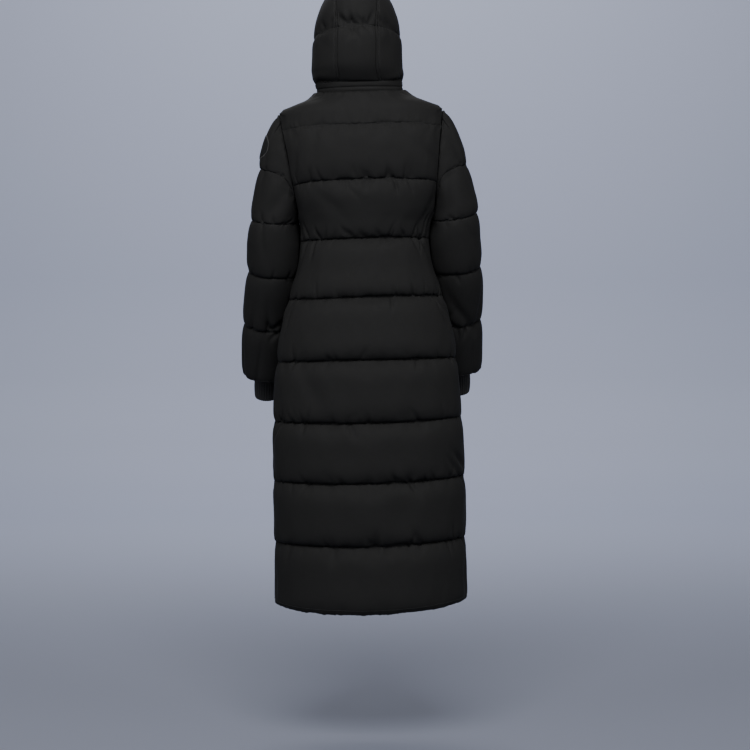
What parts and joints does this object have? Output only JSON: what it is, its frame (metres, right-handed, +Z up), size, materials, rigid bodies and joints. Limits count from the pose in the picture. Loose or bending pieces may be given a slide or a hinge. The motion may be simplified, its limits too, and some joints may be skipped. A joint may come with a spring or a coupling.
{
  "type": "hooded quilted parka",
  "caption": "Calf-length hooded down parka in the hollow shape it has when worn, quilted in wide bands, with a front zip, knit inner cuffs and a low neck band.",
  "frame": {"origin": "at the neck, midway between the shoulders that hold the coat up", "axes": "+Z up, front faces -Y, wearer's left is +X"},
  "size_m": [0.5976, 0.3886, 1.5095],
  "materials": {
    "shell": "smooth tightly woven nylon with a soft sheen, over down",
    "rib_knit": "matte rib knit",
    "zip": "woven zip tape with moulded teeth",
    "zip_metal": "black enamel",
    "patch": "plain felt-like patch with a pale stitched rim"
  },
  "bodies": {
    "coat": {"back": "shell", "front_left": "shell", "front_right": "shell", "sleeve_left": "shell", "sleeve_right": "shell", "cuff_left": "rib_knit", "cuff_right": "rib_knit", "neck_band": "shell", "hood_centre": "shell", "hood_left": "shell", "hood_right": "shell", "zip_tape_left": "zip", "zip_tape_right": "zip", "zip_slider": "zip_metal", "sleeve_patch": "patch"},
    "pull": {"zip_pull": "zip_metal"}
  },
  "joints": [
    {"name": "pull_hinge", "type": "hinge", "parent": "coat", "child": "pull", "pos_m": [-0.00368, -0.09519, -0.0195], "axis": [-1, 0, 0], "range_deg": [0, 100]}
  ]
}
